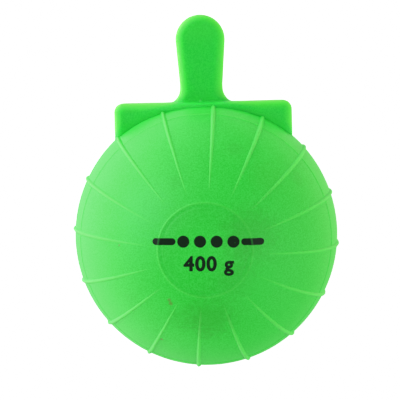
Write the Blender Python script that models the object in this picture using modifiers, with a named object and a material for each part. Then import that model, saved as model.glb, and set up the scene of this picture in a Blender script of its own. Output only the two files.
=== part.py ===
"""Ribbed throwing ball with a T-shaped finger grip: soft hollow ball, loose weight inside, bonded plug.

The ball lies on its rear pole. Its poles are on Z, the grip points to +Y, and the origin is the
middle of the rear pole's flat. All sizes are in metres.
"""
from math import acos, asin, atan2, ceil, cos, exp, hypot, pi, radians, sin, sqrt

import bmesh
import bpy
from mathutils import Matrix

# Ball
BALL_RADIUS = 0.0500
POLE_FLAT_RADIUS = 0.0165
WALL = 0.0065
CLEARANCE = 0.0003

# Fine raised lines left by the mould: a rim round each pole's flat, and a line on each half
RIM_WIDTH = 0.0006
RIM_GROOVE_DEPTH = 0.0002
LINE_OFFSET = 0.0188
LINE_WIDTH = 0.0006
LINE_HEIGHT = 0.0002

# Grip ribs, which run from pole to pole and sink into the ball before they reach the flats
RIB_COUNT = 16
RIB_TURN = radians(5.0)
RIB_RADIUS = 0.0008
RIB_HEIGHT = 0.00078
RIB_FADE_ANGLE = radians(24.0)

# Grip bar, across the top of the ball, thicker in its middle
BAR_WIDTH = 0.0672
BAR_RISE = 0.0005
BAR_END_THICKNESS = 0.0110
BAR_BULGE = 0.0060
BAR_BULGE_REACH = 0.0200
BAR_EDGE_RADIUS = 0.0032
BAR_SEAT_DEPTH = 0.0006

# The bar's T-shaped root, cast into the wall
WEB_SETBACK = 0.0033
WEB_THICKNESS = 0.0064
FLANGE_SETBACK = 0.0045
FLANGE_THICKNESS = 0.0105
FLANGE_DEPTH = 0.0015
ROOT_BACKING = 0.0020

# Finger tongue, which bends about a line just above the bar
TONGUE_LENGTH = 0.0329
TONGUE_TIP_RADIUS = 0.0092
TONGUE_ROOT_WIDTH = 0.0162
TONGUE_THICKNESS = 0.0070
TONGUE_EDGE_RADIUS = 0.0020
TONGUE_FILLET = 0.0040
FILLET_SINK = 0.0003
BEND_RISE = 0.0070

# Filling hole in the rear pole, its stepped plug, and the loose weight
HOLE_RADIUS = 0.0040
PLUG_HEAD_RADIUS = 0.0080
PLUG_HEAD_THICKNESS = 0.0016
PLUG_EDGE = 0.0003
FILL_DEPTH = 0.0240
FILL_CLEARANCE = 0.0004

# Mesh fineness
TURN_STEPS = 48
CAVITY_STEPS = 40
ARC_STEP = radians(9.0)
RIB_STEP = radians(9.0)
CUT_MARGIN = 0.0020
SHARP_ANGLE = radians(35)

# Sizes that follow from the ones above
CENTRE_HEIGHT = sqrt(BALL_RADIUS ** 2 - POLE_FLAT_RADIUS ** 2)
CAVITY_RADIUS = BALL_RADIUS - WALL
BAR_TOP = BALL_RADIUS + BAR_RISE
BEND_LINE = BAR_TOP + BEND_RISE
TIP_CENTRE = BAR_TOP + TONGUE_LENGTH - TONGUE_TIP_RADIUS
KNUCKLE_RADIUS = TONGUE_THICKNESS / 2
SOCKET_RADIUS = KNUCKLE_RADIUS + CLEARANCE
NECK_TOP = BEND_LINE - sqrt(SOCKET_RADIUS ** 2 - KNUCKLE_RADIUS ** 2) - CLEARANCE

GREEN = (0.040, 0.590, 0.056, 1.0)
PLUG_GREEN = (0.030, 0.430, 0.045, 1.0)
SAND = (0.420, 0.350, 0.250, 1.0)


def clear_scene():
    """Remove every object, so that the script gives the same model each time."""
    for obj in list(bpy.data.objects):
        bpy.data.objects.remove(obj, do_unlink=True)


def new_collection(name):
    """Make a collection under the scene's own."""
    collection = bpy.data.collections.new(name)
    bpy.context.scene.collection.children.link(collection)
    return collection


def new_material(name, colour, roughness):
    """Make a plain material with one Principled BSDF."""
    material = bpy.data.materials.new(name)
    material.use_nodes = True
    shader = material.node_tree.nodes["Principled BSDF"]
    shader.inputs["Base Color"].default_value = colour
    shader.inputs["Roughness"].default_value = roughness
    shader.inputs["Metallic"].default_value = 0.0
    material.diffuse_color = colour
    return material


def add_object(name, data, collection):
    """Link a mesh or curve to a collection, as an object that hangs on the ball's centre."""
    obj = bpy.data.objects.new(name, data)
    collection.objects.link(obj)
    obj.parent = centre
    return obj


def as_cutter(obj):
    """Mark an object as one that only shapes others."""
    obj.display_type = "WIRE"
    obj.hide_render = True
    return obj


def fill_mesh(mesh, build):
    """Run a builder on a mesh's shape, turn its faces outwards and shade round faces smooth."""
    shape = bmesh.new()
    shape.from_mesh(mesh)
    build(shape)
    bmesh.ops.recalc_face_normals(shape, faces=shape.faces)
    shape.to_mesh(mesh)
    shape.free()
    mesh.shade_smooth()
    mesh.set_sharp_from_angle(angle=SHARP_ANGLE)
    return mesh


def new_mesh(name, build):
    """A new mesh with the shape that a builder makes."""
    return fill_mesh(bpy.data.meshes.new(name), build)


def boolean(obj, operation, other):
    """Cut or join one solid with another."""
    modifier = obj.modifiers.new(f"{operation.lower()} {other.name}", "BOOLEAN")
    modifier.operation = operation
    modifier.solver = "EXACT"
    modifier.object = other


def bevel(obj, width, segments):
    """Round the edges that turn by more than 60 degrees."""
    modifier = obj.modifiers.new("rounded edges", "BEVEL")
    modifier.width = width
    modifier.segments = segments
    modifier.limit_method = "ANGLE"
    modifier.angle_limit = radians(60)


def turned(name, profile, collection):
    """Turn a profile of (radius, height) points, listed from the top down, about Z."""
    mesh = bpy.data.meshes.new(name)
    points = [(radius, 0.0, height) for radius, height in profile]
    mesh.from_pydata(points, [(i, i + 1) for i in range(len(points) - 1)], [])
    obj = add_object(name, mesh, collection)
    screw = obj.modifiers.new("turn", "SCREW")
    screw.axis = "Z"
    screw.angle = 2 * pi
    screw.steps = TURN_STEPS
    screw.render_steps = TURN_STEPS
    screw.use_merge_vertices = True
    screw.merge_threshold = 0.00001
    screw.use_smooth_shade = True
    return obj


def sphere(name, radius, steps):
    """A ball about the centre, with a number of facets around it."""
    def build(shape):
        bmesh.ops.create_uvsphere(shape, u_segments=steps, v_segments=steps // 2, radius=radius)
    return as_cutter(add_object(name, new_mesh(name, build), cutters))


def flat_plate(name, outline, thickness, collection):
    """A plate in the XY plane, with an outline of (x, y) points and its middle at Z = 0."""
    curve = bpy.data.curves.new(name, "CURVE")
    curve.dimensions = "2D"
    curve.fill_mode = "BOTH"
    curve.extrude = thickness / 2
    spline = curve.splines.new("POLY")
    spline.points.add(len(outline) - 1)
    for point, (x, y) in zip(spline.points, outline):
        point.co = (x, y, 0.0, 1.0)
    spline.use_cyclic_u = True
    plate = curve_to_mesh(name, curve, collection)

    def join_flat_faces(shape):
        bmesh.ops.dissolve_limit(shape, angle_limit=radians(1), verts=shape.verts, edges=shape.edges)

    fill_mesh(plate.data, join_flat_faces)
    return plate


def curve_to_mesh(name, curve, collection):
    """Replace a curve by its welded mesh, so that it can be cut and joined."""
    source = add_object(name + " curve", curve, collection)
    bpy.context.view_layer.update()
    evaluated = source.evaluated_get(bpy.context.evaluated_depsgraph_get())
    mesh = bpy.data.meshes.new_from_object(evaluated)
    bpy.data.objects.remove(source, do_unlink=True)

    def weld(shape):
        bmesh.ops.remove_doubles(shape, verts=shape.verts, dist=0.000001)

    return add_object(name, fill_mesh(mesh, weld), collection)


def arc(x, y, radius, start, end, step=ARC_STEP):
    """Points along an arc, both ends included. Angles run from +X towards +Y."""
    count = max(1, ceil(abs(end - start) / step - 1e-6))
    angles = [start + (end - start) * i / count for i in range(count + 1)]
    return [(x + radius * cos(a), y + radius * sin(a)) for a in angles]


def on_ball(polar, lift=0.0):
    """Radius and height of a point on the ball, by its angle from the pole."""
    distance = BALL_RADIUS + lift
    return distance * sin(polar), distance * cos(polar)


def half_profile():
    """The ball's outline from the front pole to just above its equator."""
    groove = POLE_FLAT_RADIUS - RIM_WIDTH
    rim_foot = asin((POLE_FLAT_RADIUS + RIM_WIDTH) / BALL_RADIUS)
    line = acos(LINE_OFFSET / BALL_RADIUS)
    half_line = LINE_WIDTH / 2 / BALL_RADIUS
    points = [
        (0.0, CENTRE_HEIGHT),
        (groove - RIM_WIDTH / 2, CENTRE_HEIGHT),
        (groove, CENTRE_HEIGHT - RIM_GROOVE_DEPTH),
        (groove + RIM_WIDTH / 2, CENTRE_HEIGHT),
        (POLE_FLAT_RADIUS + RIM_WIDTH / 2, CENTRE_HEIGHT),
    ]
    points += stretch(rim_foot, line - half_line)
    points.append(on_ball(line, LINE_HEIGHT))
    points += stretch(line + half_line, pi / 2)[:-1]
    return points


def stretch(start, end):
    """Points on the ball between two polar angles, both ends included."""
    count = max(1, ceil((end - start) / ARC_STEP - 1e-6))
    return [on_ball(start + (end - start) * i / count) for i in range(count + 1)]


def make_ribs():
    """All ribs in one object: tubes bent to an arc that dives into the ball near the poles."""
    crest = BALL_RADIUS + RIB_HEIGHT - RIB_RADIUS
    sunk = BALL_RADIUS - RIB_RADIUS
    fade_r = sunk * sin(RIB_FADE_ANGLE)
    fade_z = sunk * cos(RIB_FADE_ANGLE)
    arc_centre = (crest ** 2 - fade_r ** 2 - fade_z ** 2) / (2 * (crest - fade_r))
    arc_radius = crest - arc_centre
    reach = atan2(fade_z, fade_r - arc_centre) + RIB_STEP / 2
    path = arc(arc_centre, 0.0, arc_radius, reach, -reach, RIB_STEP)

    curve = bpy.data.curves.new("ribs", "CURVE")
    curve.dimensions = "3D"
    curve.bevel_depth = RIB_RADIUS
    curve.bevel_resolution = 1
    curve.use_fill_caps = True
    for i in range(RIB_COUNT):
        turn = pi / 2 - RIB_TURN - i * 2 * pi / RIB_COUNT
        spline = curve.splines.new("POLY")
        spline.points.add(len(path) - 1)
        for point, (r, z) in zip(spline.points, path):
            point.co = (r * cos(turn), r * sin(turn), z, 1.0)
    return as_cutter(curve_to_mesh("ribs", curve, cutters))


def bar_half_thickness(x):
    """The bar's front face, which swells round the tongue's root."""
    return BAR_END_THICKNESS / 2 + BAR_BULGE * exp(-(x / BAR_BULGE_REACH) ** 2)


def bar_block(name, grow):
    """The bar as a block that reaches into the ball, grown by a clearance on every side."""
    half_width = BAR_WIDTH / 2 + grow
    top = BAR_TOP + grow
    bottom = sqrt(BALL_RADIUS ** 2 - (BAR_WIDTH / 2) ** 2) - 4 * CUT_MARGIN
    stations = 14

    def build(shape):
        size = Matrix.Diagonal((2 * half_width, top - bottom, 1.0, 1.0))
        place = Matrix.Translation((0.0, (top + bottom) / 2, 0.0))
        bmesh.ops.create_cube(shape, size=1.0, matrix=place @ size)
        for i in range(1, stations):
            x = half_width * (2 * i / stations - 1)
            everything = shape.verts[:] + shape.edges[:] + shape.faces[:]
            bmesh.ops.bisect_plane(shape, geom=everything, plane_co=(x, 0, 0), plane_no=(1, 0, 0), dist=1e-7)
        for vert in shape.verts:
            side = 1.0 if vert.co.z > 0 else -1.0
            vert.co.z = side * (bar_half_thickness(vert.co.x) + grow)

    obj = add_object(name, new_mesh(name, build), cutters)
    bevel(obj, BAR_EDGE_RADIUS + grow, 3)
    return obj


def root_plate(name, setback, thickness, inner, outer):
    """A curved strip of the T-shaped root, in the ball's wall, set back from the bar's ends."""
    half_angle = asin((BAR_WIDTH / 2 - setback) / BALL_RADIUS)
    outline = arc(0.0, 0.0, outer, pi / 2 - half_angle, pi / 2 + half_angle)
    outline += arc(0.0, 0.0, inner, pi / 2 + half_angle, pi / 2 - half_angle)
    return as_cutter(flat_plate(name, outline, thickness, cutters))


def add_root(obj, operation, grow):
    """Join the root to the bar, or cut its pocket in the wall with a clearance."""
    foot = CAVITY_RADIUS + ROOT_BACKING + CLEARANCE - grow
    shoulder = foot + FLANGE_DEPTH + 2 * grow
    web_foot = (foot + shoulder) / 2
    web_top = BALL_RADIUS - BAR_SEAT_DEPTH + CLEARANCE + BAR_RISE
    label = "root" if operation == "UNION" else "pocket"
    web_size = (WEB_SETBACK - grow, WEB_THICKNESS + 2 * grow)
    flange_size = (FLANGE_SETBACK - grow, FLANGE_THICKNESS + 2 * grow)
    boolean(obj, operation, root_plate(label + " web", *web_size, web_foot, web_top))
    boolean(obj, operation, root_plate(label + " flange", *flange_size, foot, shoulder))


def make_skin():
    """The hollow ball: turned outside, ribs joined on, cavity, seat, root pocket and filling hole cut."""
    upper = half_profile()
    lower = [(r, -z) for r, z in reversed(upper)]
    skin = turned("ball_skin", upper + [(BALL_RADIUS, 0.0)] + lower, parts)
    boolean(skin, "UNION", make_ribs())

    seat = as_cutter(bar_block("bar seat", CLEARANCE))
    boolean(seat, "DIFFERENCE", sphere("seat floor", BALL_RADIUS - BAR_SEAT_DEPTH, TURN_STEPS))
    boolean(skin, "DIFFERENCE", seat)
    add_root(skin, "DIFFERENCE", CLEARANCE)

    boolean(skin, "DIFFERENCE", sphere("cavity", CAVITY_RADIUS, CAVITY_STEPS))
    counterbore = PLUG_HEAD_RADIUS + CLEARANCE
    bore = HOLE_RADIUS + CLEARANCE
    step = -CENTRE_HEIGHT + PLUG_HEAD_THICKNESS + CLEARANCE
    hole = turned("filling hole", [
        (0.0, -CAVITY_RADIUS + CUT_MARGIN),
        (bore, -CAVITY_RADIUS + CUT_MARGIN),
        (bore, step),
        (counterbore, step),
        (counterbore, -CENTRE_HEIGHT - CUT_MARGIN),
        (0.0, -CENTRE_HEIGHT - CUT_MARGIN),
    ], cutters)
    boolean(skin, "DIFFERENCE", as_cutter(hole))
    return skin


def make_bar():
    """The grip bar with the tongue's neck on top and its root below."""
    bar = bar_block("grip_bar", 0.0)
    cutters.objects.unlink(bar)
    parts.objects.link(bar)

    half_root = TONGUE_ROOT_WIDTH / 2
    fillet_x = half_root + TONGUE_FILLET
    fillet_foot = BAR_TOP - FILLET_SINK
    shoulder = fillet_x + BAR_EDGE_RADIUS
    outline = [(shoulder, BAR_TOP - 2 * BAR_EDGE_RADIUS), (shoulder, fillet_foot)]
    outline += arc(fillet_x, fillet_foot + TONGUE_FILLET, TONGUE_FILLET, -pi / 2, -pi)
    outline.append((half_root, BEND_LINE + 2 * CUT_MARGIN))
    outline += [(-x, y) for x, y in reversed(outline)]
    neck = as_cutter(flat_plate("neck", outline, TONGUE_THICKNESS, cutters))
    bevel(neck, TONGUE_EDGE_RADIUS, 2)
    boolean(bar, "UNION", neck)

    underside = BALL_RADIUS - BAR_SEAT_DEPTH + CLEARANCE
    boolean(bar, "DIFFERENCE", sphere("bar underside", underside, TURN_STEPS))
    add_root(bar, "UNION", 0.0)

    boolean(bar, "DIFFERENCE", knuckle("socket", SOCKET_RADIUS, TONGUE_ROOT_WIDTH + 2 * CUT_MARGIN))
    trim = block("neck trim", TONGUE_ROOT_WIDTH + 2 * CUT_MARGIN, NECK_TOP, BEND_LINE + 2 * CUT_MARGIN)
    boolean(bar, "DIFFERENCE", trim)
    return bar


def knuckle(name, radius, length):
    """A round bar along X on the bend line."""
    def build(shape):
        turn = Matrix.Rotation(pi / 2, 4, "Y")
        place = Matrix.Translation((0.0, BEND_LINE, 0.0))
        bmesh.ops.create_cone(shape, cap_ends=True, segments=32, radius1=radius, radius2=radius,
                              depth=length, matrix=place @ turn)
    return as_cutter(add_object(name, new_mesh(name, build), cutters))


def block(name, width, low, high):
    """A box that is wider than the tongue is thick, between two heights along Y."""
    def build(shape):
        size = Matrix.Diagonal((width, high - low, 2 * TONGUE_THICKNESS, 1.0))
        place = Matrix.Translation((0.0, (low + high) / 2, 0.0))
        bmesh.ops.create_cube(shape, size=1.0, matrix=place @ size)
    return as_cutter(add_object(name, new_mesh(name, build), cutters))


def make_tongue():
    """The finger tongue: a plate with a round tip, and a round root in the neck's socket."""
    half_root = TONGUE_ROOT_WIDTH / 2
    run = TIP_CENTRE - BEND_LINE
    flare = asin((TONGUE_TIP_RADIUS - half_root) / hypot(run, half_root - TONGUE_TIP_RADIUS))
    outline = [(-half_root, BEND_LINE - CUT_MARGIN), (half_root, BEND_LINE - CUT_MARGIN)]
    outline += arc(0.0, TIP_CENTRE, TONGUE_TIP_RADIUS, -flare, pi + flare, radians(10))
    tongue = flat_plate("finger_tongue", outline, TONGUE_THICKNESS, parts)
    bevel(tongue, TONGUE_EDGE_RADIUS, 3)
    low = BEND_LINE - 3 * CUT_MARGIN
    boolean(tongue, "DIFFERENCE", block("tongue trim", TONGUE_ROOT_WIDTH + 2 * CUT_MARGIN, low, BEND_LINE))
    root = knuckle("tongue root", KNUCKLE_RADIUS, TONGUE_ROOT_WIDTH)
    bevel(root, TONGUE_EDGE_RADIUS, 2)
    boolean(tongue, "UNION", root)

    for vert in tongue.data.vertices:
        vert.co.y -= BEND_LINE
    tongue.location = (0.0, BEND_LINE, 0.0)
    return tongue


def make_plug():
    """The stepped plug, flush with the rear flat and with the cavity."""
    rear = -CENTRE_HEIGHT
    shoulder = rear + PLUG_HEAD_THICKNESS
    return turned("fill_plug", [
        (0.0, -CAVITY_RADIUS),
        (HOLE_RADIUS - PLUG_EDGE, -CAVITY_RADIUS),
        (HOLE_RADIUS, -CAVITY_RADIUS - PLUG_EDGE),
        (HOLE_RADIUS, shoulder),
        (PLUG_HEAD_RADIUS, shoulder),
        (PLUG_HEAD_RADIUS, rear + PLUG_EDGE),
        (PLUG_HEAD_RADIUS - PLUG_EDGE, rear),
        (0.0, rear),
    ], parts)


def make_fill():
    """The loose weight, lying in the bottom of the cavity with a level top."""
    radius = CAVITY_RADIUS - FILL_CLEARANCE
    level = FILL_DEPTH - radius
    edge = asin(level / radius)
    profile = [(0.0, level)] + arc(0.0, 0.0, radius, edge, -pi / 2)[:-1] + [(0.0, -radius)]
    return turned("granulate_fill", profile, parts)


clear_scene()
parts = new_collection("throwing_ball")
cutters = new_collection("cutters")
centre = bpy.data.objects.new("ball_centre", None)
parts.objects.link(centre)
centre.location = (0.0, 0.0, CENTRE_HEIGHT)

soft_green = new_material("soft green plastic", GREEN, 0.45)
plug_green = new_material("plug plastic", PLUG_GREEN, 0.40)
granulate = new_material("mineral granulate", SAND, 0.90)

for piece, material in (
    (make_skin(), soft_green),
    (make_bar(), soft_green),
    (make_tongue(), soft_green),
    (make_plug(), plug_green),
    (make_fill(), granulate),
):
    piece.data.materials.clear()
    piece.data.materials.append(material)
bpy.context.view_layer.update()
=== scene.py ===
"""Looks of the ribbed throwing ball: soft skin, grip ribs, finger grip, loose weight, plug and print.

The ball lies on its rear pole. Its poles are on Z, the finger tongue points to +Y, and lengths are in
metres unless a name or a comment says millimetres.
"""

from math import acos, asin, atan2, ceil, cos, hypot, pi, radians, sin, sqrt

import bmesh
import bpy
from mathutils import Matrix, Vector
from mathutils.bvhtree import BVHTree
from mathutils.geometry import delaunay_2d_cdt


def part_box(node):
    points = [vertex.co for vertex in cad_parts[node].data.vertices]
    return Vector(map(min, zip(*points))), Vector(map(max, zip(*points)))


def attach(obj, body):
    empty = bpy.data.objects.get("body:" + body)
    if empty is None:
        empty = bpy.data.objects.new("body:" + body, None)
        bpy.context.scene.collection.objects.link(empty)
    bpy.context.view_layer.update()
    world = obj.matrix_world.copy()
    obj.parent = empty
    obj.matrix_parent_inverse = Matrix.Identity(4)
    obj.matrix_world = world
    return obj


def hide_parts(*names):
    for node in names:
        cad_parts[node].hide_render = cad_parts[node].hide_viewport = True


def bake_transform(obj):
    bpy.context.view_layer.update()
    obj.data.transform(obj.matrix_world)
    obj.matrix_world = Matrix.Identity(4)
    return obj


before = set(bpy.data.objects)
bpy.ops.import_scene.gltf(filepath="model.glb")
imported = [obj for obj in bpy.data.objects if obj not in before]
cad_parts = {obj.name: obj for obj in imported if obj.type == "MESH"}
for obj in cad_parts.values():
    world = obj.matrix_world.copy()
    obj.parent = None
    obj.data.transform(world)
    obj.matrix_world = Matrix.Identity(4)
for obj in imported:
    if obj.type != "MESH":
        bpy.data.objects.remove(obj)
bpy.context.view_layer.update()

# Ball skin: one hollow moulding in soft, satin, slightly milky green plastic. The mould leaves a fine
# rim round each pole's flat, a fine line on each half, and a faint seam where its two halves met. Use
# has left specks of soil and smudges. Broad soft patches of painted shade and a few paler patches lie
# over them. The fine lines and the belt between them carry painted light, and the groove and the skin
# beside the finger bar painted shade. The front flat is shaded as a very shallow dome.
BALL_RADIUS = 0.0500
WALL = 0.0065
RIM_WIDTH = 0.0012
RIM_HEIGHT = 0.00010
GROOVE_DEPTH = 0.00005
LINE_OFFSET = 0.0188
LINE_WIDTH = 0.0009
LINE_HEIGHT = 0.00018
SEAM_WIDTH = 0.0006
SEAM_HEIGHT = 0.00006
HOLE_RADIUS = 0.0043
PLUG_GAP = 0.0002
PLUG_SEAT = 0.0019
DOME_RISE = 0.0028
DOME_FADE = 1.5
MM = 0.001
TINY = 0.000001

# How finely the skin is cut: round the ball, down its outside, across each fine line, up its cavity.
SKIN_STEPS = 320
COARSE_STEP = radians(1.5)
FINE_STEPS = 8
FINE_REACH = 1.2
LIP_STEP = 0.002
CAVITY_STEPS = 60
SHARP_ANGLE = radians(40)

SKIN_GREEN = (0.0520, 0.810, 0.0800, 1.0)
SKIN_DEEP = (0.0120, 0.720, 0.0280, 1.0)
# Painted light: the paler tone of the fine lines and the rib crests.
SKIN_GLOW = (0.1500, 0.950, 0.1300, 1.0)
# Painted shade: the tone of creases, the groove, the ribs' feet, the grip's join and the skin beside the
# bar.
CREASE_SHADE = (0.0000, 0.7800, 0.0300, 1.0)
SOIL = (0.2200, 0.1200, 0.0400, 1.0)
# Darker, duller tone for smudges and painted shade.
SMUDGE_AND_SHADE = (0.0220, 0.4200, 0.0050, 1.0)
# Paler, greyer green.
PALE_PATCH = (0.0800, 0.8200, 0.1600, 1.0)

# Each mark is a place, a radius and a strength. It is even over its core and fades from there.
SOIL_MARKS = (
    (-0.0131, -0.0175, 0.0922, 0.0010, 0.40),
    (-0.0126, -0.0188, 0.0918, 0.0011, 0.45),
    (-0.0168, -0.0339, 0.0799, 0.0007, 0.80),
    (-0.0304, 0.0015, 0.0869, 0.0007, 0.35),
    (0.0222, 0.0243, 0.0848, 0.0100, 0.035),
)
# Darker, duller marks: the small ones are smudges, the broad ones painted shade on the right and the bottom
# of the front.
SMUDGE_AND_SHADE_MARKS = (
    (0.0113, 0.0340, 0.0821, 0.0050, 0.13),
    (-0.0097, 0.0234, 0.0903, 0.0040, 0.09),
    (0.0333, 0.0229, 0.0766, 0.0045, 0.14),
    (-0.0267, -0.0173, 0.0857, 0.0035, 0.06),
    (0.0000, -0.0309, 0.0865, 0.0050, 0.13),
    (0.0155, 0.0045, 0.0935, 0.0140, 0.25),
    (0.0105, -0.0105, 0.0944, 0.0100, 0.14),
    (0.0010, -0.0250, 0.0905, 0.0110, 0.24),
    (0.0020, -0.0230, 0.0907, 0.0160, 0.12),
    (-0.0080, -0.0245, 0.0900, 0.0090, 0.12),
)
# Painted shade: broad, soft darker patches over the front, in the crease tone.
SHADE_MARKS = (
    (0.0190, -0.0115, 0.0915, 0.0130, 0.28),
    (-0.0130, 0.0300, 0.0870, 0.0150, 0.10),
)
# Paler, greyer patches on the upper left of the front.
PALE_PATCH_MARKS = (
    (-0.0222, 0.0140, 0.0898, 0.0150, 0.22),
    (-0.0250, 0.0020, 0.0905, 0.0120, 0.10),
)
MARK_CORE = 0.2

# The plastic's three noises, each with its scale, detail and roughness, and what is made of them.
CLOUD = (90.0, 3.0, 0.5)
MOTTLE = (650.0, 2.0, 0.6)
FLECK = (2200.0, 1.0, 0.5)
TONE_SHARES = (0.1, 0.15, 0.75)
TONE_RANGE = (0.3, 0.7)
BUMP_SHARES = (0.6, 0.4)
BUMP_STRENGTH = 0.35
BUMP_DEPTH = 0.00008
ROUGHNESS = 0.42
ROUGHNESS_SPREAD = 0.08
DIFFUSE_ROUGHNESS = 0.8
SCATTER_WEIGHT = 0.8
SCATTER_TINT = (0.4, 1.0, 0.4)

# Painted light: how much paler the fine lines are for each rim height that they lift, and the belt between
# two lines.
LINE_GLOW = 0.22
LEAST_LIFT = -0.5
MOST_LIFT = 1.5
BELT_GLOW = 0.06

# The finger bar's sizes, which the finger grip also follows, and the painted shade in the crease beside it,
# in millimetres.
BAR_WIDTH = 67.1
BAR_THICKNESS = 11.0
BAR_SWELL = 6.0
BAR_SWELL_REACH = 24.0
BAR_CREASE_REACH = 3.0
BAR_CREASE_SOFT = 0.5
BAR_CREASE_START = 20.0
BAR_CREASE_FULL = 30.0
BAR_CREASE_SHADE = 0.8

ball_low, ball_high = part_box("ball_skin")
_, plug_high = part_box("fill_plug")
CENTRE = Vector((0.0, 0.0, (ball_low.z + ball_high.z) / 2))
FLAT_RADIUS = sqrt(BALL_RADIUS ** 2 - CENTRE.z ** 2)

rim = asin(FLAT_RADIUS / BALL_RADIUS)
mould_lines = [
    (rim, RIM_WIDTH, RIM_HEIGHT),
    (rim - RIM_WIDTH / BALL_RADIUS, RIM_WIDTH, -GROOVE_DEPTH),
    (acos(LINE_OFFSET / BALL_RADIUS), LINE_WIDTH, LINE_HEIGHT),
]
mould_lines += [(pi - polar, width, height) for polar, width, height in mould_lines]
mould_lines.append((pi / 2, SEAM_WIDTH, SEAM_HEIGHT))


class Wire:
    """One output of a node. Arithmetic on wires adds Math nodes to their tree."""

    def __init__(self, tree, socket):
        self.tree = tree
        self.socket = socket

    def __add__(self, other):
        return math("ADD", self, other)

    def __radd__(self, other):
        return math("ADD", other, self)

    def __sub__(self, other):
        return math("SUBTRACT", self, other)

    def __rsub__(self, other):
        return math("SUBTRACT", other, self)

    def __mul__(self, other):
        return math("MULTIPLY", self, other)

    def __rmul__(self, other):
        return math("MULTIPLY", other, self)

    def __truediv__(self, other):
        return math("DIVIDE", self, other)

    def __pow__(self, other):
        return math("POWER", self, other)


class Tree:
    """A node tree that is being written, for a material, the world or a shape."""

    def __init__(self, tree):
        self.tree = tree

    def add(self, kind, values=None, output=0, **settings):
        """Add a node: its settings first, then the values or wires of its sockets, by name or place."""
        node = self.tree.nodes.new(kind)
        for name, value in settings.items():
            setattr(node, name, value)
        pairs = values.items() if isinstance(values, dict) else enumerate(values or ())
        inputs = [socket for socket in node.inputs if socket.enabled]
        for key, value in pairs:
            socket = inputs[key] if isinstance(key, int) else next(s for s in inputs if s.name == key)
            if isinstance(value, Wire):
                self.tree.links.new(value.socket, socket)
            else:
                socket.default_value = value
        outputs = [socket for socket in node.outputs if socket.enabled]
        if not outputs:
            return None
        found = outputs[output] if isinstance(output, int) else next(s for s in outputs if s.name == output)
        return Wire(self, found)

    def blend(self, factor, first, second):
        """Mix two colours."""
        return self.add("ShaderNodeMix", [factor, first, second], data_type="RGBA")

    def ramp(self, value, low, high, smooth=True):
        """Bring a value to 0 at low and 1 at high, and hold it there beyond them."""
        kind = "SMOOTHSTEP" if smooth else "LINEAR"
        return self.add("ShaderNodeMapRange", [value, low, high, 0.0, 1.0], interpolation_type=kind)

    def noise(self, place, scale, detail, roughness):
        """Cloudy noise from 0 to 1."""
        values = {"Vector": place, "Scale": scale, "Detail": detail, "Roughness": roughness}
        return self.add("ShaderNodeTexNoise", values)


def math(operation, *values):
    """A Math node on numbers and wires."""
    tree = next(value.tree for value in values if isinstance(value, Wire))
    return tree.add("ShaderNodeMath", list(values), operation=operation)


def split(tree, vector):
    """The three numbers of a vector."""
    node = tree.add("ShaderNodeSeparateXYZ", [vector]).socket.node
    return [Wire(tree, socket) for socket in node.outputs]


def new_material(name):
    """A material, the tree it is written in, and its shader."""
    material = bpy.data.materials.new(name)
    material.use_nodes = True
    return material, Tree(material.node_tree), material.node_tree.nodes["Principled BSDF"]


def feed(shader, **values):
    """Set or wire the shader's sockets, named with _ for a space."""
    for name, value in values.items():
        socket = shader.inputs[name.replace("_", " ")]
        if isinstance(value, Wire):
            shader.id_data.links.new(value.socket, socket)
        else:
            socket.default_value = value


def new_object(name, data):
    """An object of the scene, at the origin."""
    added = bpy.data.objects.new(name, data)
    bpy.context.scene.collection.objects.link(added)
    return added


def plain_mesh(source):
    """The mesh that an object's modifiers or its text make. The object itself is removed."""
    bpy.context.view_layer.update()
    evaluated = source.evaluated_get(bpy.context.evaluated_depsgraph_get())
    mesh = bpy.data.meshes.new_from_object(evaluated)
    bpy.data.objects.remove(source, do_unlink=True)
    return mesh


def merged(mesh):
    """A mesh opened for editing, with its doubled points made one."""
    shape = bmesh.new()
    shape.from_mesh(mesh)
    bmesh.ops.remove_doubles(shape, verts=shape.verts, dist=TINY)
    return shape


def turned(name, section, steps):
    """The mesh that a section makes when it is turned about Z. Its points are radii and heights."""
    mesh = bpy.data.meshes.new(name)
    points = [(radius, 0.0, height) for radius, height in section]
    mesh.from_pydata(points, [(i, i + 1) for i in range(len(points) - 1)], [])
    source = new_object(name, mesh)
    screw = source.modifiers.new("turn", "SCREW")
    screw.steps = screw.render_steps = steps
    screw.use_merge_vertices = True
    screw.merge_threshold = TINY
    return plain_mesh(source)


def new_piece(name, mesh, material):
    """Show a mesh as a piece in one material."""
    piece = new_object(name, mesh)
    mesh.name = name
    mesh.materials.clear()
    mesh.materials.append(material)
    return piece


def lift(polar):
    """How far the mould's fine lines stand out, at an angle from the front pole."""
    total = 0.0
    for middle, width, height in mould_lines:
        share = 1 - ((polar - middle) * BALL_RADIUS / (width / 2)) ** 2
        total += height * max(share, 0.0) ** 2
    return total


def outside(polar):
    """Radius and height of the skin's outer face, measured from the ball's centre."""
    flat = CENTRE.z / max(abs(cos(polar)), TINY)
    distance = min(BALL_RADIUS, flat) + lift(polar)
    return distance * sin(polar), distance * cos(polar)


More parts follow.
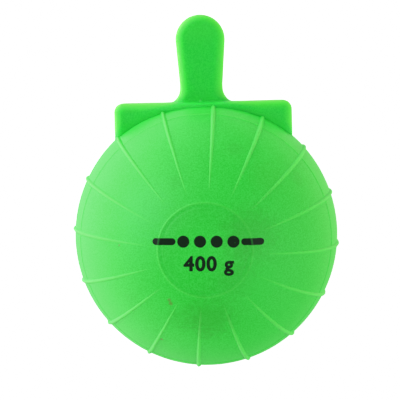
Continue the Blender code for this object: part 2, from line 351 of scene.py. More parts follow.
def skin_profile():
    """The skin's section, down its outside, in through the filling hole and up its inside."""
    last = pi - atan2(plug_high.x + PLUG_GAP, CENTRE.z)
    angles = {round(i * COARSE_STEP, 6) for i in range(int(last / COARSE_STEP))}
    for middle, width, _ in mould_lines:
        half = width / 2 / BALL_RADIUS
        angles -= {angle for angle in angles if abs(angle - middle) < FINE_REACH * half}
        angles |= {middle + half * i / FINE_STEPS for i in range(-FINE_STEPS, FINE_STEPS + 1)}
    profile = [outside(angle) for angle in sorted(angles) if angle < last - LIP_STEP]
    seat = PLUG_SEAT - CENTRE.z
    profile.append((plug_high.x + PLUG_GAP, -CENTRE.z))
    profile.append((plug_high.x + PLUG_GAP, seat))
    profile.append((HOLE_RADIUS, seat))
    cavity = BALL_RADIUS - WALL
    start = pi - asin(HOLE_RADIUS / cavity)
    for i in range(CAVITY_STEPS):
        angle = start * (1 - i / CAVITY_STEPS)
        profile.append((cavity * sin(angle), cavity * cos(angle)))
    profile.append((0.0, cavity))
    return profile


def bar_half(x, thickness=BAR_THICKNESS, swell=BAR_SWELL, reach=BAR_SWELL_REACH):
    """Half the finger bar's thickness at x: it is thickest in its middle. All in millimetres."""
    return thickness / 2 + swell * math("EXPONENT", 0.0 - (x / reach) ** 2.0)


def bar_crease_shade(tree, place):
    """Where the skin gets painted shade beside the finger bar: 1 right beside it, and 0 a little way off.
    """
    x, y, z = split(tree, place)
    above = math("ABSOLUTE", z - CENTRE.z) / MM - bar_half(x / MM)
    end = BAR_WIDTH / 2
    along = 1.0 - tree.ramp(math("ABSOLUTE", x) / MM, end - BAR_CREASE_SOFT, end + BAR_CREASE_SOFT)
    near = 1.0 - tree.ramp(above, 0.0, BAR_CREASE_REACH, smooth=False)
    return near * along * tree.ramp(y, BAR_CREASE_START * MM, BAR_CREASE_FULL * MM)


def soft_plastic(name, body, deep, thin, gloss=0.4, scatter=0.0, stains_and_shade=(), crease_shaded=False, dome=0.0):
    """Satin soft plastic with a fine fleck and a moulded grain.

    The mesh's edge attribute is above 0 where the plastic is thin, painted paler as light through it, and
    below 0 in a crease, painted with shade.
    """
    material, tree, shader = new_material(name)
    place = tree.add("ShaderNodeTexCoord", output="Object")
    edge = tree.add("ShaderNodeAttribute", output="Fac", attribute_name="edge")
    cloud = tree.noise(place, *CLOUD)
    mottle = tree.noise(place, *MOTTLE)
    fleck = tree.noise(place, *FLECK)
    tone = cloud * TONE_SHARES[0] + mottle * TONE_SHARES[1] + fleck * TONE_SHARES[2]
    colour = tree.blend(tree.ramp(tone, *TONE_RANGE), deep, body)
    # Painted light where the edge attribute is above 0, and painted shade where it is below 0 and beside
    # the finger bar.
    colour = tree.blend(edge, colour, thin)
    colour = tree.blend(0.0 - edge, colour, CREASE_SHADE)
    if crease_shaded:
        colour = tree.blend(BAR_CREASE_SHADE * bar_crease_shade(tree, place), colour, CREASE_SHADE)
    # The marks: specks of soil and smudges, broad patches of painted shade, and paler patches.
    for mark_colour, marks in stains_and_shade:
        for x, y, z, radius, strength in marks:
            near = tree.add("ShaderNodeVectorMath", [place, (x, y, z)], "Value", operation="DISTANCE")
            spot = 1.0 - tree.ramp(near + (mottle - 0.5) * radius, radius * MARK_CORE, radius)
            colour = tree.blend(spot * strength, colour, mark_colour)
    height = fleck * BUMP_SHARES[0] + mottle * BUMP_SHARES[1]
    values = {"Strength": BUMP_STRENGTH, "Distance": BUMP_DEPTH, "Height": height}
    normal = tree.add("ShaderNodeBump", values)
    if dome:
        x, y, z = split(tree, place)
        level = math("MAXIMUM", 1.0 - (x * x + y * y) / FLAT_RADIUS ** 2, 0.0)
        level = level * tree.ramp(z, CENTRE.z, DOME_FADE * CENTRE.z)
        values = {"Strength": 1.0, "Distance": dome, "Height": level, "Normal": normal}
        normal = tree.add("ShaderNodeBump", values)
    feed(shader, Base_Color=colour, Roughness=ROUGHNESS + mottle * ROUGHNESS_SPREAD, Normal=normal)
    feed(shader, Specular_IOR_Level=gloss, Diffuse_Roughness=DIFFUSE_ROUGHNESS)
    if scatter:
        feed(shader, Subsurface_Weight=SCATTER_WEIGHT, Subsurface_Radius=SCATTER_TINT)
        feed(shader, Subsurface_Scale=scatter)
    return material


def make_skin():
    """The skin's section turned about the poles. Its fine lines and the belt between get painted light, the
    groove painted shade.
    """
    mesh = turned("skin section", skin_profile(), SKIN_STEPS)
    shape = merged(mesh)
    bmesh.ops.recalc_face_normals(shape, faces=shape.faces)
    thin = shape.verts.layers.float.new("edge")
    belt = pi / 2 - acos(LINE_OFFSET / BALL_RADIUS)
    for vert in shape.verts:
        polar = vert.co.angle(Vector((0.0, 0.0, 1.0)))
        if vert.co.length > BALL_RADIUS - WALL / 2:
            # Painted light on the lifted lines and the belt, and painted shade in the sunk groove.
            vert[thin] = LINE_GLOW * max(LEAST_LIFT, min(MOST_LIFT, lift(polar) / RIM_HEIGHT))
            vert[thin] += BELT_GLOW * (abs(polar - pi / 2) < belt)
    bmesh.ops.translate(shape, verts=shape.verts, vec=CENTRE)
    shape.to_mesh(mesh)
    shape.free()
    mesh.shade_smooth()
    mesh.set_sharp_from_angle(angle=SHARP_ANGLE)
    return new_piece("ball_shell", mesh, skin_plastic)


skin_plastic = soft_plastic(
    "soft green plastic", SKIN_GREEN, SKIN_DEEP, SKIN_GLOW, crease_shaded=True, dome=DOME_RISE,
    stains_and_shade=((CREASE_SHADE, SHADE_MARKS), (PALE_PATCH, PALE_PATCH_MARKS), (SMUDGE_AND_SHADE, SMUDGE_AND_SHADE_MARKS), (SOIL, SOIL_MARKS)),
)
skin = make_skin()
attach(skin, "ball")
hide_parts("ball_skin")

# Grip ribs: sixteen thin ribs from pole to pole, moulded with the skin, that keep the fingers from
# slipping. Each follows an arc that sinks into the ball before it reaches the flats, and leans a
# little out of its plane.
RIB_COUNT = 16
RIB_TURN = radians(4.7)
RIB_WIDTH = 0.0020
RIB_HEIGHT = 0.00078
RIB_END = radians(24.0)
RIB_OVERRUN = radians(1.5)
RIB_CREST = 3.0
RIB_SIDES = 28
RIB_STATIONS = 80
RIB_TWIST = radians(1.0)
# Painted light on each rib's crest, paler and fading towards its ends, and painted shade at its foot.
RIB_CREST_GLOW = 0.6
RIB_END_FADE = 0.8
RIB_FOOT_SHADE = 0.3

# How far each rib stands off its even place, in degrees.
RIB_DRIFT = (
    -0.3, -0.1, -0.25, -0.2, -0.3, -0.75, -0.25, 0.2,
    -0.2, 0.1, 0.05, 0.1, -0.1, -0.2, -0.3, -0.6,
)


def new_shape(name, sizes):
    """A geometry tree with a named input for each size. Returns it with a wire for each input."""
    nodes = bpy.data.node_groups.new(name, "GeometryNodeTree")
    nodes.interface.new_socket("Mesh", in_out="INPUT", socket_type="NodeSocketGeometry")
    for size, value in sizes.items():
        kind = "NodeSocketInt" if isinstance(value, int) else "NodeSocketFloat"
        nodes.interface.new_socket(size, in_out="INPUT", socket_type=kind)
    nodes.interface.new_socket("Mesh", in_out="OUTPUT", socket_type="NodeSocketGeometry")
    tree = Tree(nodes)
    start = nodes.nodes.new("NodeGroupInput")
    return tree, {socket.name: Wire(tree, socket) for socket in start.outputs if socket.name}


def end_shape(tree, mesh, material):
    """Close a geometry tree: real meshes in place of instances, shaded smooth, with their material."""
    mesh = tree.add("GeometryNodeRealizeInstances", [mesh])
    mesh = tree.add("GeometryNodeSetShadeSmooth", [mesh])
    mesh = tree.add("GeometryNodeSetMaterial", {"Geometry": mesh, "Material": material})
    tree.add("NodeGroupOutput", [mesh])


def grow(name, tree, sizes, material, base=None):
    """Run a geometry tree, on a mesh if it needs one, and show the plain mesh that it makes."""
    source = new_object(name + " source", base or bpy.data.meshes.new(name))
    modifier = source.modifiers.new(name, "NODES")
    modifier.node_group = tree.tree
    for item in tree.tree.interface.items_tree:
        if item.name in sizes:
            modifier[item.identifier] = sizes[item.name]
    return new_piece(name, plain_mesh(source), material)


def make_ribs():
    """One rib bent to its arc out of a round rod, then copied round the ball."""
    end_radius = (BALL_RADIUS - RIB_HEIGHT) * sin(RIB_END)
    end_height = (BALL_RADIUS - RIB_HEIGHT) * cos(RIB_END)
    offset = (BALL_RADIUS ** 2 - end_radius ** 2 - end_height ** 2) / (2 * (BALL_RADIUS - end_radius))
    sizes = {
        "Count": RIB_COUNT,
        "Turn": pi / 2 - RIB_TURN,
        "Half Width": RIB_WIDTH / 2,
        "Height": RIB_HEIGHT,
        "Crest": RIB_CREST,
        "Arc Offset": offset,
        "Arc Radius": BALL_RADIUS - offset,
        "Half Sweep": atan2(end_height, end_radius - offset) + RIB_OVERRUN,
        "Twist": RIB_TWIST / BALL_RADIUS,
        "Pale": RIB_CREST_GLOW,
        "End Fade": RIB_END_FADE,
        "Foot Shade": RIB_FOOT_SHADE,
        "Ball Height": CENTRE.z,
    }
    tree, size = new_shape("grip ribs", sizes)
    values = {"Vertices": RIB_SIDES, "Side Segments": RIB_STATIONS, "Radius": 1.0, "Depth": 2.0}
    rod = tree.add("GeometryNodeMeshCylinder", values)
    across, up, along = split(tree, tree.add("GeometryNodeInputPosition"))
    crest = math("MAXIMUM", up, 0.0)
    foot = math("MINIMUM", up, 0.0)
    swell = size["Height"] * (crest ** size["Crest"] + foot)
    angle = along * size["Half Sweep"]
    distance = size["Arc Radius"] + swell
    out = size["Arc Offset"] + distance * math("COSINE", angle)
    height = distance * math("SINE", angle)
    aside = 0.0 - across * size["Half Width"] - out * height * size["Twist"]
    bent = tree.add("ShaderNodeCombineXYZ", [out, aside, height])
    # Painted light on the crest and painted shade at the foot, in the edge attribute.
    thin = crest ** (size["Crest"] + 1.0) * size["Pale"] * (1.0 - size["End Fade"] * along ** 4.0)
    dark = size["Foot Shade"] * (1.0 - crest) ** 2.0
    values = {"Geometry": rod, "Name": "edge", "Value": thin - dark}
    rod = tree.add("GeometryNodeStoreNamedAttribute", values)
    rib = tree.add("GeometryNodeSetPosition", {"Geometry": rod, "Position": bent})
    number = tree.add("GeometryNodeInputIndex")
    drift = tree.add("GeometryNodeInputNamedAttribute", {"Name": "drift"}, data_type="FLOAT")
    turn = size["Turn"] + number * (2 * pi) / size["Count"] - drift
    turn = tree.add("ShaderNodeCombineXYZ", [0.0, 0.0, turn])
    values = {"Points": size["Mesh"], "Instance": rib, "Rotation": turn}
    ribs = tree.add("GeometryNodeInstanceOnPoints", values)
    height = tree.add("ShaderNodeCombineXYZ", [0.0, 0.0, size["Ball Height"]])
    ribs = tree.add("GeometryNodeTransform", {"Geometry": ribs, "Translation": height})
    end_shape(tree, ribs, skin_plastic)
    starts = bpy.data.meshes.new("rib starts")
    starts.from_pydata([(0.0, 0.0, 0.0)] * RIB_COUNT, [], [])
    drifts = starts.attributes.new("drift", "FLOAT", "POINT")
    drifts.data.foreach_set("value", [radians(angle) for angle in RIB_DRIFT])
    return grow("grip_ribs", tree, sizes, skin_plastic, starts)


ribs = make_ribs()
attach(ribs, "ball")

# Finger grip: the cross bar and the tongue, one soft moulding that is cast on to the ball. The bar is
# thickest in its middle, where the tongue stands, and every border is well rounded.
# Sizes here are in millimetres from the ball's centre, but for the depth of the scatter.
BAR_TOP = 50.5
BAR_CORNER = 3.4
BAR_HOLLOW = 0.00013
BAR_LEAN = 0.003
BAR_ROUNDING = 2.8
TONGUE_TIP_RADIUS = 9.3
TONGUE_ROOT_HALF = 8.05
TONGUE_ROOT = 57.5
TONGUE_SHIFT = -0.4
TONGUE_THICKNESS = 7.0
TONGUE_ROUNDING = 3.2
TONGUE_FILLET = 6.2
TONGUE_STEP = 1.2
TONGUE_SINK = 0.8
NUB_PLACE = (-0.44, 50.7, 3.5)
NUB_RADIUS = 0.8
NUB_FILLET = 0.5
GRIP_SINK = 0.5
GRIP_LOWEST = 34.0
GRIP_MARGIN = 1.0
GRIP_VOXEL = 0.33

# The grip's tones. Painted light: a paler border along the outline and towards the tongue's tip, as light
# through thin plastic. Painted shade: the crease where the grip meets the ball.
GRIP_GREEN = (0.0350, 0.765, 0.0720, 1.0)
GRIP_DEEP = (0.0100, 0.685, 0.0450, 1.0)
GRIP_GLOW = (0.1400, 0.875, 0.0680, 1.0)
GRIP_GLOSS = 0.3
GRIP_SCATTER = 0.004
BORDER_WIDTH = 4.2
TIP_GLOW = 0.12
TIP_PALE_START = 14.0
TIP_PALE_FULL = 5.0
GRIP_CREASE_SHADE = 0.8
GRIP_CREASE_REACH = 4.0

_, tongue_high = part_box("finger_tongue")
TONGUE_TIP = tongue_high.y / MM


def rounded(first, second):
    """Distance to a corner, from how far a point lies past each of its two sides."""
    beyond = math("MAXIMUM", first, 0.0) ** 2.0 + math("MAXIMUM", second, 0.0) ** 2.0
    within = math("MINIMUM", math("MAXIMUM", first, second), 0.0)
    return math("SQRT", beyond) + within


def plate(outline, face, rounding):
    """Distance to a plate with rounded edges, from the distances to its outline and its face."""
    return rounded(outline + rounding, face + rounding) - rounding


def filleted(first, second, radius):
    """Distance to two forms joined by a round fillet, from the distances to each of them."""
    near = math("MAXIMUM", radius - first, 0.0) ** 2.0 + math("MAXIMUM", radius - second, 0.0) ** 2.0
    return math("MAXIMUM", math("MINIMUM", first, second), radius) - math("SQRT", near)


def make_grip():
    """The grip as the zero face of a distance field, sampled in a fine block of cells."""
    tip_centre = TONGUE_TIP - TONGUE_TIP_RADIUS
    sizes = {
        "Bar Half Width": BAR_WIDTH / 2,
        "Bar Thickness": BAR_THICKNESS,
        "Bar Swell": BAR_SWELL,
        "Bar Swell Reach": BAR_SWELL_REACH,
        "Bar Top": BAR_TOP,
        "Bar Hollow": BAR_HOLLOW,
        "Bar Lean": BAR_LEAN,
        "Bar Corner": BAR_CORNER,
        "Bar Rounding": BAR_ROUNDING,
        "Tip Radius": TONGUE_TIP_RADIUS,
        "Tip Centre": tip_centre,
        "Flare": asin((TONGUE_TIP_RADIUS - TONGUE_ROOT_HALF) / (tip_centre - TONGUE_ROOT)),
        "Tongue Root": TONGUE_ROOT,
        "Tongue Shift": TONGUE_SHIFT,
        "Tongue Half Thickness": TONGUE_THICKNESS / 2,
        "Tongue Rounding": TONGUE_ROUNDING,
        "Tongue Sink": TONGUE_SINK,
        "Fillet": TONGUE_FILLET,
        "Step Fillet": TONGUE_STEP,
        "Nub Radius": NUB_RADIUS,
        "Nub Fillet": NUB_FILLET,
        "Skin Radius": BALL_RADIUS / MM,
        "Underside Radius": BALL_RADIUS / MM - GRIP_SINK,
        "Border Width": BORDER_WIDTH,
        "Tip Glow": TIP_GLOW,
        "Crease": GRIP_CREASE_SHADE,
        "Crease Reach": GRIP_CREASE_REACH,
        "Ball Height": CENTRE.z,
    }
    tree, size = new_shape("finger grip", sizes)
    place = tree.add("GeometryNodeInputPosition")
    x, y, z = split(tree, place)
    depth = math("ABSOLUTE", z)

    corner = size["Bar Corner"]
    out_x = math("ABSOLUTE", x) - size["Bar Half Width"] + corner
    out_y = y - size["Bar Hollow"] * x * x + size["Bar Lean"] * x - size["Bar Top"] + corner
    bar_outline = rounded(out_x, out_y) - corner
    half = bar_half(x, size["Bar Thickness"], size["Bar Swell"], size["Bar Swell Reach"])
    bar = plate(bar_outline, depth - half, size["Bar Rounding"])

    across = math("ABSOLUTE", x - size["Tongue Shift"])
    run = math("MAXIMUM", y, size["Tongue Root"]) - size["Tip Centre"]
    lean = math("COSINE", size["Flare"])
    rise = math("SINE", size["Flare"])
    side = across * lean - run * rise
    past = math("MAXIMUM", across * rise + run * lean, 0.0)
    tongue_outline = math("SQRT", side * side + past * past) - size["Tip Radius"]
    filled = filleted(bar_outline + size["Tongue Sink"], tongue_outline, size["Fillet"])
    tongue = plate(filled, depth - size["Tongue Half Thickness"], size["Tongue Rounding"])
    grip = math("SMOOTH_MIN", bar, tongue, size["Step Fillet"])

    nub = tree.add("ShaderNodeVectorMath", [place, NUB_PLACE], "Value", operation="DISTANCE")
    grip = math("SMOOTH_MIN", grip, nub - size["Nub Radius"], size["Nub Fillet"])
    ball = tree.add("ShaderNodeVectorMath", [place], operation="LENGTH")
    grip = math("MAXIMUM", grip, size["Underside Radius"] - ball)

    width = BAR_WIDTH / 2 + GRIP_MARGIN
    low = (-width, GRIP_LOWEST, -(BAR_THICKNESS / 2 + BAR_SWELL + GRIP_MARGIN))
    high = (width, TONGUE_TIP + GRIP_MARGIN, -low[2])
    block = {"Density": 0.0 - grip, "Background": -1.0, "Min": low, "Max": high}
    for i, axis in enumerate("XYZ"):
        block["Resolution " + axis] = round((high[i] - low[i]) / GRIP_VOXEL)
    cloud = tree.add("GeometryNodeVolumeCube", block)
    mesh = tree.add("GeometryNodeVolumeToMesh", {"Volume": cloud, "Threshold": 0.0})

    # Painted light along the outline and towards the tongue's tip, and painted shade in the crease at the
    # ball, in the edge attribute.
    outline = math("MINIMUM", bar_outline, filled)
    border = tree.ramp(outline, 0.0 - size["Border Width"], 0.0, smooth=False) ** 2.0
    tip = tree.ramp(y, TONGUE_TIP - TIP_PALE_START, TONGUE_TIP - TIP_PALE_FULL)
    border = math("MAXIMUM", border, size["Tip Glow"] * tip)
    crease_end = size["Skin Radius"] + size["Crease Reach"]
    crease = (1.0 - tree.ramp(ball, size["Skin Radius"], crease_end, smooth=False)) ** 2.0
    border = border - (border + size["Crease"]) * crease
    values = {"Geometry": mesh, "Name": "edge", "Value": border}
    mesh = tree.add("GeometryNodeStoreNamedAttribute", values)
    height = tree.add("ShaderNodeCombineXYZ", [0.0, 0.0, size["Ball Height"]])
    values = {"Geometry": mesh, "Translation": height, "Scale": (MM, MM, MM)}
    end_shape(tree, tree.add("GeometryNodeTransform", values), grip_plastic)
    return grow("finger_grip", tree, sizes, grip_plastic)


grip_plastic = soft_plastic(
    "grip plastic", GRIP_GREEN, GRIP_DEEP, GRIP_GLOW, gloss=GRIP_GLOSS, scatter=GRIP_SCATTER,
)
grip = make_grip()
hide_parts("grip_bar", "finger_tongue")
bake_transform(grip)

# Loose weight: mineral granulate, poured in through the rear pole until the ball weighs 400 g. It
# isn't fixed to anything and runs to the lowest side, with a level top. Here it is single grains over
# a bed, which together stay inside the real heap's outline.
GRAIN_RADIUS = 0.0009
GRAIN_DENSITY = 550000.0
GRAIN_SEED = 7
GRAIN_TURN = 6.3
GRAIN_LEAST = 0.6
GRAIN_PALE = (0.52, 0.45, 0.33, 1.0)
GRAIN_DARK = (0.20, 0.15, 0.10, 1.0)
LEAST_TINT = 0.1
DUST = (1500.0, 3.0, 0.5)
DUST_SHARE = 0.2
DUST_STRENGTH = 0.5
DUST_DEPTH = 0.0002
GRAIN_ROUGHNESS = 0.75
GRAIN_ROUGHNESS_SPREAD = 0.2

weight_low, weight_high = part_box("granulate_fill")


def stone():
    """Dull mineral, each grain with a tint of its own."""
    material, tree, shader = new_material("mineral granulate")
    place = tree.add("ShaderNodeTexCoord", output="Object")
    tint = tree.add("ShaderNodeAttribute", output="Fac", attribute_name="tint")
    dust = tree.noise(place, *DUST)
    colour = tree.blend(tint * (1 - DUST_SHARE) + dust * DUST_SHARE, GRAIN_DARK, GRAIN_PALE)
    normal = tree.add("ShaderNodeBump", {"Strength": DUST_STRENGTH, "Distance": DUST_DEPTH, "Height": dust})
    roughness = GRAIN_ROUGHNESS + dust * GRAIN_ROUGHNESS_SPREAD
    feed(shader, Base_Color=colour, Roughness=roughness, Normal=normal)
    return material


def make_grains():
    """The weight's surface sunk by a grain, and grains spread over it, each turned and sized by chance."""
    sizes = {
        "Grain Radius": GRAIN_RADIUS,
        "Density": GRAIN_DENSITY,
        "Seed": GRAIN_SEED,
        "Weight Radius": CENTRE.z - weight_low.z,
        "Level": weight_high.z,
        "Ball Height": CENTRE.z,
    }
    tree, size = new_shape("grains", sizes)
    radius = size["Grain Radius"]
    x, y, z = split(tree, tree.add("GeometryNodeInputPosition"))
    reach = size["Weight Radius"] - radius
    share = reach / size["Weight Radius"]
    level = size["Ball Height"] - size["Level"] + radius
    below = math("MAXIMUM", (size["Ball Height"] - z) * share, level)
    widest = math("SQRT", reach * reach - below * below)
    share = math("MINIMUM", share, widest / math("MAXIMUM", math("SQRT", x * x + y * y), radius))
    sunk = tree.add("ShaderNodeCombineXYZ", [x * share, y * share, size["Ball Height"] - below])
    bed = tree.add("GeometryNodeSetPosition", {"Geometry": size["Mesh"], "Position": sunk})

    values = {"Mesh": bed, "Density": size["Density"], "Seed": size["Seed"]}
    points = tree.add("GeometryNodeDistributePointsOnFaces", values)
    grain = tree.add("GeometryNodeMeshIcoSphere", {"Radius": radius, "Subdivisions": 1})
    turns = [(0.0, 0.0, 0.0), (GRAIN_TURN, GRAIN_TURN, GRAIN_TURN)]
    scales = [(GRAIN_LEAST, GRAIN_LEAST, GRAIN_LEAST), (1.0, 1.0, 1.0)]
    turn = tree.add("FunctionNodeRandomValue", turns, data_type="FLOAT_VECTOR")
    scale = tree.add("FunctionNodeRandomValue", scales, data_type="FLOAT_VECTOR")
    values = {"Points": points, "Instance": grain, "Rotation": turn, "Scale": scale}
    heap = tree.add("GeometryNodeInstanceOnPoints", values)
    tint = tree.add("FunctionNodeRandomValue", [LEAST_TINT, 1.0], data_type="FLOAT")
    values = {"Geometry": heap, "Name": "tint", "Value": tint}
    heap = tree.add("GeometryNodeStoreNamedAttribute", values, domain="INSTANCE")
    whole = tree.add("GeometryNodeJoinGeometry", [heap])
    tree.tree.links.new(bed.socket, whole.socket.node.inputs[0])
    end_shape(tree, whole, granulate)

    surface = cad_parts["granulate_fill"].data.copy()
    shape = merged(surface)
    shape.to_mesh(surface)
    shape.free()
    return grow("loose_grains", tree, sizes, granulate, surface)


granulate = stone()
grains = make_grains()
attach(grains, "fill")
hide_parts("granulate_fill")

# Filling plug: a stepped plug of the same plastic, bonded flush in the rear pole once the weight is
# in. It is a little deeper in colour than the skin.
PLUG_GREEN = (0.0120, 0.480, 0.0360, 1.0)
PLUG_DEEP = (0.0100, 0.440, 0.0330, 1.0)

plug_plastic = soft_plastic("plug plastic", PLUG_GREEN, PLUG_DEEP, SKIN_GLOW)
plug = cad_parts["fill_plug"]
plug.data.materials.clear()
plug.data.materials.append(plug_plastic)

# Print: the weight in plain figures, and a generic row of four dots between two lines for its class,
# in dark ink. It is pad-printed on the front flat and runs over the fine rim, where it is thin.
FIGURE_SIZE = 0.0070
FIGURE_SPACING = 1.12
FIGURE_BOLD = 0.00025
FIGURES_PLACE = (0.0012, -0.0050)
DOT_COUNT = 4
DOT_RADIUS = 0.0021
DOT_STEP = 0.0058
DASH_LENGTH = 0.0080
DASH_WIDTH = 0.0024
DASH_CLOSER = 0.0002
DOTS_PLACE = (0.0011, 0.0030)
OUTLINE_STEPS = 48
PRINT_TURN = radians(-1.45)
INK_HEIGHT = 0.00004
INK_CELL = 0.0002
CELL_TOLERANCE_MM = 0.0001

# The ink's tones, and how far it is worn on the rim and in its pinholes.
INK = (0.0040, 0.0200, 0.0060, 1.0)
INK_THIN = (0.0200, 0.2400, 0.0300, 1.0)
INK_ROUGHNESS = 0.45
INK_GLOSS = 0.15
RIM_WEAR = 0.55
RIM_WEAR_FULL = 0.0001
RIM_WEAR_REACH = 0.0005
PINHOLES = (1400.0, 3.0, 0.5)
PINHOLE_RANGE = (0.66, 0.74)
PINHOLE_WEAR = 0.5


def ink():
    """Dark ink, worn where the rim lifts it, with a few pinholes."""
    material, tree, shader = new_material("print ink")
    place = tree.add("ShaderNodeTexCoord", output="Object")
    x, y, _ = split(tree, place)
    off_rim = math("ABSOLUTE", math("SQRT", x * x + y * y) - FLAT_RADIUS)
    on_rim = 1.0 - tree.ramp(off_rim, RIM_WEAR_FULL, RIM_WEAR_REACH)
    pinholes = tree.ramp(tree.noise(place, *PINHOLES), *PINHOLE_RANGE)
    wear = math("MAXIMUM", on_rim * RIM_WEAR, pinholes * PINHOLE_WEAR)
    feed(shader, Base_Color=tree.blend(wear, INK, INK_THIN), Roughness=INK_ROUGHNESS)
    feed(shader, Specular_IOR_Level=INK_GLOSS)
    return material


def face_height(radius):
    """Height of the skin's front face above the ball's centre, at a distance from the pole."""
    base = min(CENTRE.z, sqrt(BALL_RADIUS ** 2 - radius ** 2))
    return base + lift(atan2(radius, base))


def figures():
    """The weight in upright figures."""
    text = bpy.data.curves.new("figures", "FONT")
    text.body = "400 g"
    text.align_x = "CENTER"
    text.align_y = "CENTER"
    text.size = FIGURE_SIZE
    text.space_character = FIGURE_SPACING
    return text


def dots_and_lines():
    """The row of dots between two round-ended lines, in its place, as a flat filled curve."""
    curve = bpy.data.curves.new("dots and lines", "CURVE")
    curve.dimensions = "2D"
    curve.fill_mode = "BOTH"
    middle_x, middle_y = DOTS_PLACE
    shapes = []
    for i in range(DOT_COUNT):
        shapes.append((middle_x + (i - (DOT_COUNT - 1) / 2) * DOT_STEP, DOT_RADIUS, 0.0))
    reach = DOT_COUNT / 2 * DOT_STEP + DASH_LENGTH / 2 - DASH_CLOSER
    for side in (-1, 1):
        shapes.append((middle_x + side * reach, DASH_WIDTH / 2, (DASH_LENGTH - DASH_WIDTH) / 2))
    for x, radius, stretch in shapes:
        spline = curve.splines.new("POLY")
        spline.points.add(OUTLINE_STEPS - 1)
        for i, point in enumerate(spline.points):
            angle = 2 * pi * (i + 0.5) / OUTLINE_STEPS
            push = stretch if cos(angle) > 0 else -stretch
            point.co = (x + push + radius * cos(angle), middle_y + radius * sin(angle), 0.0, 1.0)
        spline.use_cyclic_u = True
    return curve


def embolden(shape, width):
    """Move the outline of flat shapes outwards."""
    ways = {}
    for edge in shape.edges:
        if len(edge.link_faces) == 1:
            start, end = (vert.co for vert in edge.verts)
            way = Vector((end.y - start.y, start.x - end.x, 0.0)).normalized()
            if way.dot(start - edge.link_faces[0].calc_center_median()) < 0:
                way.negate()
            for vert in edge.verts:
                ways.setdefault(vert, []).append(way)
    for vert, found in ways.items():
        total = sum(found, Vector())
        vert.co += total * (width * len(found) / max(total.length_squared, 1.0))


def cut_fine(shape):
    """Flat faces joined where they overlap, as a mesh of fine cells. It is worked out in millimetres.

    The cells keep to the faces' borders, and a ray down on each cell tells if a face covers it.
    """
    step = INK_CELL / MM
    points = []
    lines = []
    for edge in shape.edges:
        if len(edge.link_faces) == 1:
            start, end = (vert.co.xy / MM for vert in edge.verts)
            steps = ceil((end - start).length / step)
            lines += [(len(points) + i, len(points) + i + 1) for i in range(steps)]
            points += [start.lerp(end, i / steps) for i in range(steps + 1)]
    columns, rows = (sorted(round(point[way] / step) for point in points) for way in (0, 1))
    for column in range(columns[0], columns[-1] + 1):
        points += [Vector((column, row)) * step for row in range(rows[0], rows[-1] + 1)]
    corners, _, cells, *_ = delaunay_2d_cdt(points, lines, [], 0, CELL_TOLERANCE_MM)
    cover = BVHTree.FromBMesh(shape)
    kept = []
    for cell in cells:
        middle = sum((corners[i] for i in cell), Vector((0.0, 0.0))) / len(cell) * MM
        if cover.ray_cast((*middle, MM), (0.0, 0.0, -1.0))[0]:
            kept.append(cell)
    mesh = bpy.data.meshes.new("cells")
    mesh.from_pydata([(*corner * MM, 0.0) for corner in corners], [], kept)
    fine = bmesh.new()
    fine.from_mesh(mesh)
    bmesh.ops.delete(fine, geom=[vert for vert in fine.verts if not vert.link_faces])
    return fine


def make_print():
    """Figures, dots and lines as meshes, cut fine, laid over the skin and given the ink's thickness."""
    flat = bmesh.new()
    inked = ((figures(), FIGURES_PLACE, FIGURE_BOLD), (dots_and_lines(), (0.0, 0.0), 0.0))
    for data, place, bold in inked:
        mesh = plain_mesh(new_object("ink source", data))
        mesh.transform(Matrix.Translation((*place, 0.0)))
        flat.from_mesh(mesh)
        bmesh.ops.remove_doubles(flat, verts=flat.verts, dist=TINY)
        if bold:
            embolden(flat, bold)
    shape = cut_fine(flat)
    flat.free()
    turn = Matrix.Rotation(PRINT_TURN, 3, "Z")
    for vert in shape.verts:
        vert.co = turn @ vert.co
        vert.co.z = CENTRE.z + face_height(hypot(vert.co.x, vert.co.y)) + INK_HEIGHT
    mesh = bpy.data.meshes.new("ball_print")
    shape.to_mesh(mesh)
    shape.free()
    piece = new_piece("ball_print", mesh, ink())
    solid = piece.modifiers.new("ink thickness", "SOLIDIFY")
    solid.thickness = 2 * INK_HEIGHT
    solid.offset = -1.0
    return piece


printed = make_print()
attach(printed, "ball")

# Floor and light: a pale, evenly lit table that sweeps up into a wall all round, and neither shades nor
# tints the ball. The room's own light is dim, and darkest overhead, where the camera looks in. Six soft
# lights add to it, the strongest a broad window on the left.
FLOOR_RADIUS = 2.5
FLOOR_GAP = 0.0001
FLOOR_STEPS = 96
SWEEP_RADIUS = 1.5
SWEEP_STEPS = 24
WALL_TOP = 6.0
FLOOR_TONE = (0.50, 0.50, 0.50, 1.0)
FLOOR_ROUGHNESS = 0.8
FLOOR_GLOW = 1.10
ROOM_GLOW = 0.38
ROOM_FADE = 0.7

# Each soft light is a tint, a strength, an azimuth and an elevation in degrees, and a tightness.
SOFT_LIGHTS = (
    ((1.12, 1.00, 1.13), 2.52, 151.0, -1.0, 2.0),
    ((1.11, 1.00, 1.00), 1.06, 221.0, -12.0, 4.0),
    ((0.99, 1.00, 0.99), 1.42, 345.0, 39.0, 4.0),
    ((0.89, 1.00, 0.55), 1.05, 16.0, -33.0, 4.0),
    ((0.25, 1.00, 0.35), 1.00, 315.0, 15.0, 8.0),
    ((1.50, 1.00, 2.00), 1.00, 143.0, 38.0, 25.0),
)


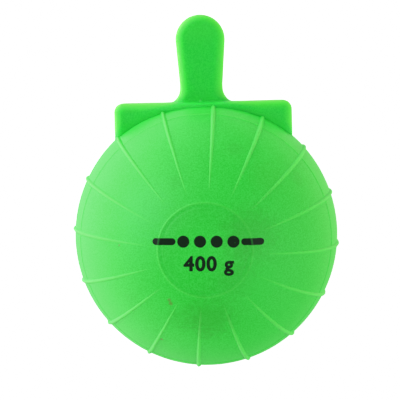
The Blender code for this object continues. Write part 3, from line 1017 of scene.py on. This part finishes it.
def make_floor():
    """The table's section turned about the ball, just under it."""
    section = [(0.0, 0.0 - FLOOR_GAP)]
    for i in range(SWEEP_STEPS + 1):
        angle = pi / 2 * i / SWEEP_STEPS
        height = SWEEP_RADIUS * (1 - cos(angle)) - FLOOR_GAP
        section.append((FLOOR_RADIUS + SWEEP_RADIUS * sin(angle), height))
    section.append((FLOOR_RADIUS + SWEEP_RADIUS, WALL_TOP - FLOOR_GAP))
    mesh = turned("floor section", section, FLOOR_STEPS)
    mesh.shade_smooth()
    material, _, shader = new_material("pale table")
    feed(shader, Base_Color=FLOOR_TONE, Roughness=FLOOR_ROUGHNESS)
    feed(shader, Emission_Color=(1.0, 1.0, 1.0, 1.0), Emission_Strength=FLOOR_GLOW)
    floor = new_piece("floor", mesh, material)
    floor.visible_diffuse = False
    floor.visible_glossy = False
    floor.visible_shadow = False
    return floor


def make_light():
    """The world's light: the room's glow and the soft lights, all by direction alone."""
    world = bpy.data.worlds.new("room light")
    world.use_nodes = True
    tree = Tree(world.node_tree)
    direction = tree.add("ShaderNodeTexCoord", output="Generated")
    _, _, up = split(tree, direction)
    glow = ROOM_GLOW * (1.0 - math("MAXIMUM", up, 0.0) ** ROOM_FADE)
    light = tree.add("ShaderNodeVectorMath", {"Vector": (1.0, 1.0, 1.0), "Scale": glow}, operation="SCALE")
    for tint, strength, azimuth, elevation, tightness in SOFT_LIGHTS:
        turn, tilt = radians(azimuth), radians(elevation)
        towards = (cos(turn) * cos(tilt), sin(turn) * cos(tilt), sin(tilt))
        facing = tree.add("ShaderNodeVectorMath", [direction, towards], "Value", operation="DOT_PRODUCT")
        glow = math("MAXIMUM", facing, 0.0) ** tightness * strength
        soft = tree.add("ShaderNodeVectorMath", {"Vector": tint, "Scale": glow}, operation="SCALE")
        light = tree.add("ShaderNodeVectorMath", [light, soft], operation="ADD")
    background = world.node_tree.nodes["Background"]
    world.node_tree.links.new(light.socket, background.inputs["Color"])
    bpy.context.scene.world = world


make_floor()
make_light()

# Camera: a long lens almost straight above the ball, seven degrees towards the tongue, as in the photo.
# Its bright tones are held back, so the lit side of the green keeps its shape and only the floor is white.
CAMERA_PLACE = CENTRE + Vector((0.00562, 0.05881, 0.47994))
CAMERA_UP = Vector((0.0251, 0.9922, -0.1219))
AIM_UP = 0.01300
AIM_LEFT = 0.00243
CAMERA_AIM = CENTRE + AIM_UP * CAMERA_UP - AIM_LEFT * Vector((1.0, 0.0, 0.0))
CAMERA_LENS = 113.3
TONE_REACH = 2.0
TONE_SHOULDER = ((0.77, 0.77), (1.08, 0.87), (1.25, 1.0))
ALL_THREE_COLOURS = 3

lens = bpy.data.cameras.new("camera")
lens.lens = CAMERA_LENS
camera = new_object("camera", lens)
back = (CAMERA_PLACE - CAMERA_AIM).normalized()
right = CAMERA_UP.cross(back).normalized()
axes = Matrix((right, back.cross(right), back)).transposed().to_4x4()
camera.matrix_world = Matrix.Translation(CAMERA_PLACE) @ axes
bpy.context.scene.camera = camera

view = bpy.context.scene.view_settings
view.view_transform = "Standard"
view.use_curve_mapping = True
view.curve_mapping.white_level = (TONE_REACH, TONE_REACH, TONE_REACH)
tone = view.curve_mapping.curves[ALL_THREE_COLOURS].points
for light, shown in TONE_SHOULDER:
    tone.new(light / TONE_REACH, shown)
tone[0].location = (0.0, 0.0)
tone[len(tone) - 1].location = (1.0, 1.0)
for point in tone:
    point.handle_type = "VECTOR"
view.curve_mapping.update()
